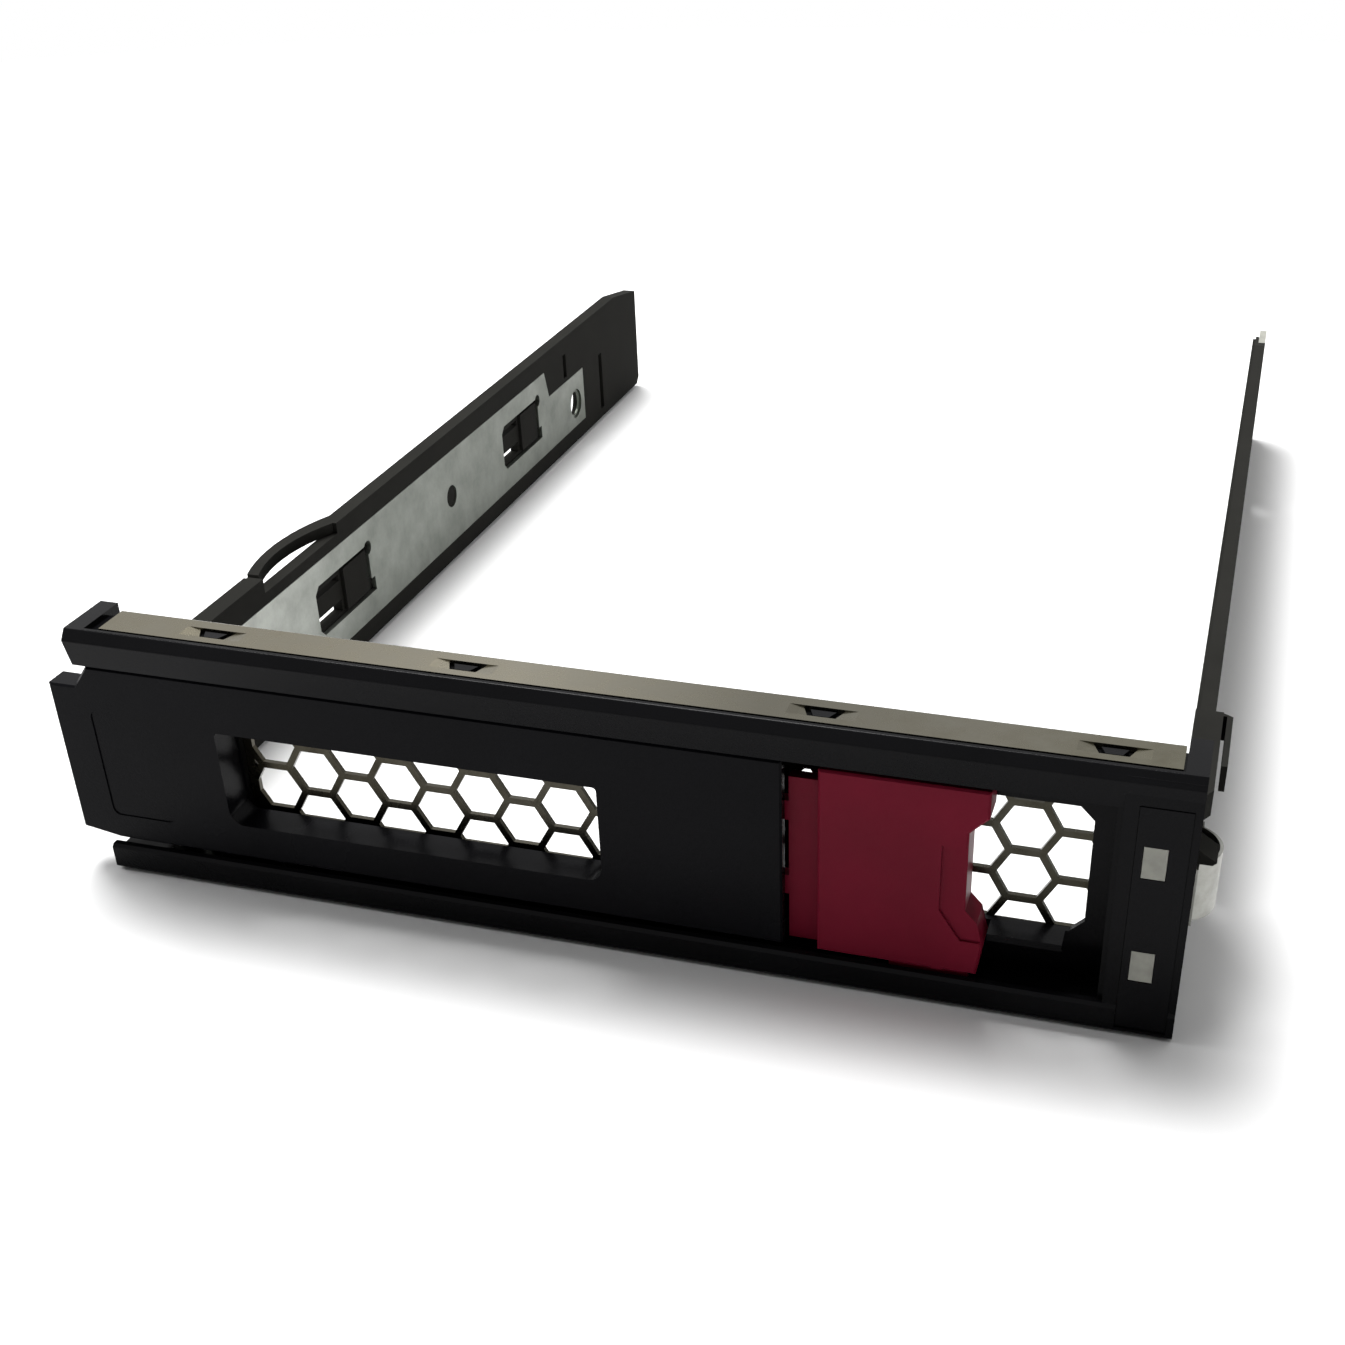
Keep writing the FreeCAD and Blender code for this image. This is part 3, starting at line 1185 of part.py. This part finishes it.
def make_screws():
    upright = FreeCAD.Rotation()
    inward = FreeCAD.Rotation(FreeCAD.Vector(0, 1, 0), -90)
    left = document.addObject("Part::Compound", "left_rail_screws")
    left.Links = [make_screw(f"foot_screw_{n}", "foot_fixing_length", x, "foot_screw_depth",
                             "foot_lift", upright) for n, x in enumerate(FOOT_SCREWS)]
    right = document.addObject("Part::Compound", "right_rail_screws")
    right.Links = [make_screw(f"tab_screw_{n}", "fixing_length", PIPE_OUTER,
                              "tab_screw_depth", z, inward)
                   for n, z in enumerate(TAB_SCREWS)]
    left.Label = "left_rail_screws"
    right.Label = "right_rail_screws"
    return [left, right]


def check(item):
    shape = item.Shape
    if shape.isNull() or not shape.isValid() or not shape.Solids:
        raise RuntimeError(f"{item.Label}: bad shape")


parts = [
    make_bezel(),
    make_shield(),
    make_left_rail(),
    make_right_rail(),
    make_plate("left_rail_plate", lambda low, high: (low, high)),
    make_plate("right_rail_plate", mirrored),
    make_pipe("light_pipe_upper", LAMP_HIGH, PIPE_HIGH, PIPE_HIGH,
              f"{LAMP_HIGH} + pipe_height"),
    make_pipe("light_pipe_lower", "lamp_low_bottom", "pipe_low_bottom", "pipe_low_bottom",
              "lamp_low_bottom + lamp_height"),
    make_cover(),
    make_ground_spring(),
    make_lever(),
    make_pin(),
    make_lever_spring(),
    make_button(),
    make_button_spring(),
] + make_screws()
document.recompute()

for item in document.Objects:
    if "Invalid" in item.State or "Error" in item.State:
        raise RuntimeError(f"{item.Label}: {item.State}")
os.makedirs("parts", exist_ok=True)
for part in parts:
    check(part)
    part.Shape.exportStep(f"parts/{part.Label}.step")
    print(part.Label, len(part.Shape.Solids), round(part.Shape.Volume, 2))
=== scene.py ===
"""Looks for the hot swap drive caddy: materials, floor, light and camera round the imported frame."""

import math

import bpy
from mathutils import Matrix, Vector


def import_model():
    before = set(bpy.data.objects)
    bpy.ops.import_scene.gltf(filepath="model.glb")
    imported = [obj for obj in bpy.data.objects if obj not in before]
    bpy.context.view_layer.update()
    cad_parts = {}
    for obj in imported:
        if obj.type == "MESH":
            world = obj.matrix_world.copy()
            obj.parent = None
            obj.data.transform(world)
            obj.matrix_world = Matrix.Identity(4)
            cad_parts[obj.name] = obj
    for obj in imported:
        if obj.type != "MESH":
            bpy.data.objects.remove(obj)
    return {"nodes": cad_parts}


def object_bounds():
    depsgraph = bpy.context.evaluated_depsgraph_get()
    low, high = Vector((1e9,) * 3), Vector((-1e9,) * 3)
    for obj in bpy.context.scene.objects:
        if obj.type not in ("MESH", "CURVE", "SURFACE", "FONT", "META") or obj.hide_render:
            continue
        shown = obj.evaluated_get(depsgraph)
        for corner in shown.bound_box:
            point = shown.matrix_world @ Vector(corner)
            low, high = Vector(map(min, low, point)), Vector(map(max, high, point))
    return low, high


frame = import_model()
cad_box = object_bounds()

# camera, in metres and degrees of the row frame
CAMERA_PLACE = (0.0521, -0.1266, 0.1003)
CAMERA_TURN = (58.01, 0.41, 15.49)
CAMERA_LENS = 46.89
CAMERA_SHIFT = (-0.0787, 0.0915)
CAMERA_CLIP = 0.005

# floor, in metres: its width, the gap below the part, and where white paper takes over
FLOOR_SIZE = 6.0
FLOOR_GAP = 0.0002
WHITE_FROM = (0.28, 0.55)
PAPER_DARK = (0.80, 0.80, 0.80)
PAPER_LIGHT = (0.83, 0.83, 0.83)

# room light: its strength in front and behind, and the directions in Y between which it turns
ROOM_FRONT = 0.08
ROOM_BACK = 0.9
ROOM_TURN = (-0.5, 0.4)

# lamps, in metres and watts
SOFTBOX_SIZE = (0.45, 0.45)
SOFTBOX_TARGET = (0, 0.05, 0.01)
SOFTBOXES = {
    "rear_softbox": ((-0.26, 0.34, 0.85), 14),
    "left_softbox": ((-0.75, 0.05, 0.40), 3),
}

# surface textures: how many to the metre, and how deep in metres
CLOUDS, GRAIN, GRAIN_DEPTH = 90, 5200, 0.000012
ROLLING, ROLLING_STRETCH, ROLLING_DEPTH = 900, (0.04, 1, 1), 0.000006
HAZE, RIPPLE, RIPPLE_DEPTH = 700, 2600, 0.000008
GLOSS_SWING = 0.06

WHITE = (1, 1, 1, 1)


class Nodes:
    """A node tree, with short calls for the nodes that the finishes, floor and room share."""

    def __init__(self, tree, place="Object"):
        self.tree = tree
        self.place = self.new("TexCoord").outputs[place]

    def new(self, kind, **constants):
        """A new shader node, with these of its inputs set."""
        node = self.tree.nodes.new("ShaderNode" + kind)
        for name, value in constants.items():
            node.inputs[name.replace("_", " ")].default_value = value
        return node

    def link(self, source, target):
        self.tree.links.new(source, target)

    def noise(self, per_metre, detail=3.0, rough=0.55, stretch=(1, 1, 1)):
        mapping = self.new("Mapping", Scale=stretch)
        self.link(self.place, mapping.inputs["Vector"])
        node = self.new("TexNoise", Scale=per_metre, Detail=detail, Roughness=rough)
        self.link(mapping.outputs["Vector"], node.inputs["Vector"])
        return node.outputs["Fac"]

    def part_of_place(self, axis):
        """The place's X, Y or Z."""
        node = self.new("SeparateXYZ")
        self.link(self.place, node.inputs["Vector"])
        return node.outputs[axis]

    def span(self, value, low, high, start=0.3, end=0.7):
        """The value's start to end, mapped to low to high."""
        node = self.new("MapRange", From_Min=start, From_Max=end, To_Min=low, To_Max=high)
        self.link(value, node.inputs["Value"])
        return node.outputs["Result"]

    def math(self, operation, first, second):
        node = self.new("Math")
        node.operation = operation
        self.link(first, node.inputs[0])
        self.link(second, node.inputs[1])
        return node.outputs["Value"]

    def colours(self, value, *stops):
        """A colour ramp through (place, colour) stops."""
        node = self.new("ValToRGB")
        ramp = node.color_ramp
        while len(ramp.elements) < len(stops):
            ramp.elements.new(0.5)
        for element, (place, colour) in zip(ramp.elements, stops):
            element.position = place
            element.color = (*colour, 1)
        self.link(value, node.inputs["Fac"])
        return node.outputs["Color"]

    def tinted(self, colour, tint):
        """The colour multiplied by the tint."""
        node = self.new("Mix")
        node.data_type = "RGBA"
        node.blend_type = "MULTIPLY"
        node.inputs[0].default_value = 1
        self.link(colour, node.inputs[6])
        self.link(tint, node.inputs[7])
        return node.outputs[2]

    def seen_as_background(self):
        """1 for rays that show the background: to the camera, in metal and through plastic."""
        rays = self.new("LightPath").outputs
        camera_or_metal = self.math("MAXIMUM", rays["Is Camera Ray"], rays["Is Glossy Ray"])
        return self.math("MAXIMUM", camera_or_metal, rays["Is Transmission Ray"])

    def whitened(self, plain, amount, white_kind, surface):
        """The plain shader on the surface, with an even white in its place by the amount."""
        white = self.new(white_kind, Color=WHITE, Strength=1)
        mix = self.new("MixShader")
        self.link(amount, mix.inputs["Fac"])
        self.link(plain, mix.inputs[1])
        self.link(white.outputs[0], mix.inputs[2])
        self.link(mix.outputs["Shader"], surface)


class Finish(Nodes):
    """A material's nodes, ending in its one shader."""

    def __init__(self, name):
        self.material = bpy.data.materials.new(name)
        self.material.use_nodes = True
        super().__init__(self.material.node_tree)
        self.shader = self.tree.nodes["Principled BSDF"]

    def bump(self, height, distance, strength=1.0):
        node = self.new("Bump", Distance=distance, Strength=strength)
        self.link(height, node.inputs["Height"])
        self.link(node.outputs["Normal"], self.shader.inputs["Normal"])

    def done(self, colour, roughness, **constants):
        """The material, with its colour, roughness and constants in place."""
        self.link(colour, self.shader.inputs["Base Color"])
        self.link(roughness, self.shader.inputs["Roughness"])
        for name, number in constants.items():
            self.shader.inputs[name.replace("_", " ")].default_value = number
        return self.material


def moulding(name, dark, light, roughness, sheen):
    """Moulded plastic with a fine sparked grain and faint uneven gloss."""
    m = Finish(name)
    cloud = m.noise(CLOUDS, detail=4)
    m.bump(m.noise(GRAIN, detail=2), GRAIN_DEPTH)
    gloss = m.span(cloud, roughness - GLOSS_SWING, roughness + GLOSS_SWING)
    return m.done(m.colours(cloud, (0.3, dark), (0.7, light)), gloss, Specular_IOR_Level=sheen)


def plated_steel(name, dark, middle, light, roughness, spangle=420, metallic=0.85, painted_light_fades=()):
    """Zinc on steel: soft crystal patches, faint rolling lines, and painted light and painted shade
    tinted along the sheet by any fades given.
    """
    m = Finish(name)
    patches = m.noise(spangle, detail=5, rough=0.65)
    m.bump(m.noise(ROLLING, detail=2, stretch=ROLLING_STRETCH), ROLLING_DEPTH, 0.5)
    zinc = m.colours(patches, (0.28, dark), (0.5, middle), (0.72, light))
    # tint the zinc with painted light and painted shade along each given axis
    for axis, start, end, *stops in painted_light_fades:
        along = m.span(m.part_of_place(axis), 0, 1, start, end)
        zinc = m.tinted(zinc, m.colours(along, *stops))
    gloss = m.span(patches, roughness + GLOSS_SWING, roughness - GLOSS_SWING)
    return m.done(zinc, gloss, Metallic=metallic)


def clear_plastic(name, dark, light):
    """Milky light guide with a faint ripple."""
    m = Finish(name)
    haze = m.noise(HAZE)
    m.bump(m.noise(RIPPLE), RIPPLE_DEPTH)
    return m.done(m.colours(haze, (0.3, dark), (0.7, light)), m.span(haze, 0.28, 0.42),
                  Transmission_Weight=0.15, IOR=1.49)


# painted light and painted shade along a steel sheet: axis, start and end in metres, and the tints on
# the way
# painted reflection across the shield: brightest just left of the middle in X, painted shade towards
# the left end and darkest to the right
FLANGE_PAINTED_REFLECTION = ("X", -0.050, 0.050, (0, (0.70, 0.68, 0.60)), (0.2, (0.76, 0.74, 0.67)),
               (0.42, (1.0, 0.99, 0.95)), (0.65, (0.50, 0.50, 0.47)),
               (0.85, (0.64, 0.64, 0.61)), (1, (0.60, 0.60, 0.53)))
# painted shade: the shield darkened to 0.3 from 4.5 mm below its top, full tone only in its top 2 mm,
# so the mesh face looks shaded
SHEET_PAINTED_SHADE = ("Z", cad_box[1].z - 0.0045, cad_box[1].z - 0.0020, (0, (0.30, 0.30, 0.30)),
              (1, (1, 1, 1)))
# painted shade on the rail plates: full tone at the front, falling to about a fifth towards the rear
PLATE_PAINTED_SHADE = ("Y", 0.010, 0.130, (0, (1, 1, 1)), (0.35, (0.34, 0.355, 0.335)),
              (1, (0.21, 0.225, 0.20)))

MATERIALS = {
    "black": moulding("black_moulding", (0.0022, 0.0022, 0.0027), (0.0036, 0.0036, 0.0043),
                      0.22, sheen=0.06),
    "lever": moulding("lever_moulding", (0.0020, 0.0020, 0.0028), (0.0034, 0.0034, 0.0045),
                      0.24, sheen=0.05),
    "rail": moulding("rail_moulding", (0.012, 0.0118, 0.0105), (0.018, 0.0177, 0.0158),
                     0.85, sheen=0.03),
    "cover": moulding("cover_moulding", (0.0028, 0.0028, 0.0034), (0.0044, 0.0044, 0.0052),
                      0.24, sheen=0.06),
    "wine": moulding("wine_moulding", (0.120, 0.0040, 0.0150), (0.150, 0.0055, 0.0195),
                     0.42, sheen=0.06),
    "shield": plated_steel("galvanised_sheet", (0.145, 0.134, 0.104), (0.198, 0.185, 0.150),
                           (0.246, 0.233, 0.194), 0.26, metallic=1,
                           painted_light_fades=(FLANGE_PAINTED_REFLECTION, SHEET_PAINTED_SHADE)),
    "plate": plated_steel("zinc_plate", (0.36, 0.375, 0.345), (0.45, 0.465, 0.43),
                          (0.53, 0.545, 0.51), 0.4, spangle=260, metallic=0.7,
                          painted_light_fades=(PLATE_PAINTED_SHADE,)),
    "spring": plated_steel("spring_steel", (0.26, 0.26, 0.235), (0.32, 0.32, 0.295),
                           (0.38, 0.38, 0.355), 0.35),
    "screw": plated_steel("screw_steel", (0.20, 0.20, 0.20), (0.26, 0.26, 0.26),
                          (0.33, 0.33, 0.33), 0.4),
    "clear": clear_plastic("light_guide", (0.24, 0.24, 0.205), (0.33, 0.33, 0.285)),
}

FINISHES = {
    "front_bezel": "black",
    "emi_shield": "shield",
    "left_rail": "rail",
    "right_rail": "rail",
    "left_rail_plate": "plate",
    "right_rail_plate": "plate",
    "light_pipe_upper": "clear",
    "light_pipe_lower": "clear",
    "indicator_cover": "cover",
    "right_ground_spring": "spring",
    "ejector_lever": "lever",
    "lever_pivot_pin": "spring",
    "lever_spring": "spring",
    "release_button": "wine",
    "button_spring": "spring",
    "left_rail_screws": "screw",
    "right_rail_screws": "screw",
}


def dress(node, material):
    piece = frame["nodes"][node]
    piece.data.materials.clear()
    piece.data.materials.append(material)


def floor():
    """Pale paper that keeps the soft shadow, and turns plain white away from the object."""
    bpy.ops.mesh.primitive_plane_add(size=FLOOR_SIZE)
    plane = bpy.context.object
    plane.name = "floor"
    plane.location.z = cad_box[0].z - FLOOR_GAP
    m = Finish("floor_paper")
    tint = m.noise(3)
    paper = m.done(m.colours(tint, (0.3, PAPER_DARK), (0.7, PAPER_LIGHT)),
                   m.span(tint, 0.85, 0.95), Specular_IOR_Level=0.2)
    distance = m.new("VectorMath")
    distance.operation = "LENGTH"
    m.link(m.place, distance.inputs[0])
    far = m.span(distance.outputs["Value"], 0, 1, *WHITE_FROM)
    m.whitened(m.shader.outputs["BSDF"], m.math("MULTIPLY", far, m.seen_as_background()),
               "Emission", m.tree.nodes["Material Output"].inputs["Surface"])
    plane.data.materials.append(paper)


def world():
    """White where it is seen; as light, bright behind the object and dimmer in front."""
    scene = bpy.context.scene
    scene.world = bpy.data.worlds.new("studio")
    scene.world.use_nodes = True
    m = Nodes(scene.world.node_tree, "Generated")
    soft = m.tree.nodes["Background"]
    soft.inputs["Color"].default_value = WHITE
    m.link(m.span(m.part_of_place("Y"), ROOM_FRONT, ROOM_BACK, *ROOM_TURN),
           soft.inputs["Strength"])
    m.whitened(soft.outputs["Background"], m.seen_as_background(), "Background",
               m.tree.nodes["World Output"].inputs["Surface"])


def lights():
    for name, (place, watts) in SOFTBOXES.items():
        data = bpy.data.lights.new(name, "AREA")
        data.shape = "RECTANGLE"
        data.size, data.size_y = SOFTBOX_SIZE
        data.energy = watts
        item = bpy.data.objects.new(name, data)
        bpy.context.collection.objects.link(item)
        item.location = place
        aim = Vector(SOFTBOX_TARGET) - Vector(place)
        item.rotation_euler = aim.to_track_quat("-Z", "Y").to_euler()


def camera():
    data = bpy.data.cameras.new("camera")
    item = bpy.data.objects.new("camera", data)
    bpy.context.collection.objects.link(item)
    item.location = CAMERA_PLACE
    item.rotation_euler = [math.radians(turn) for turn in CAMERA_TURN]
    data.lens = CAMERA_LENS
    data.shift_x, data.shift_y = CAMERA_SHIFT
    data.clip_start = CAMERA_CLIP
    bpy.context.scene.camera = item


for node_name, finish_name in FINISHES.items():
    dress(node_name, MATERIALS[finish_name])
floor()
world()
lights()
camera()
bpy.context.scene.view_settings.view_transform = "Standard"
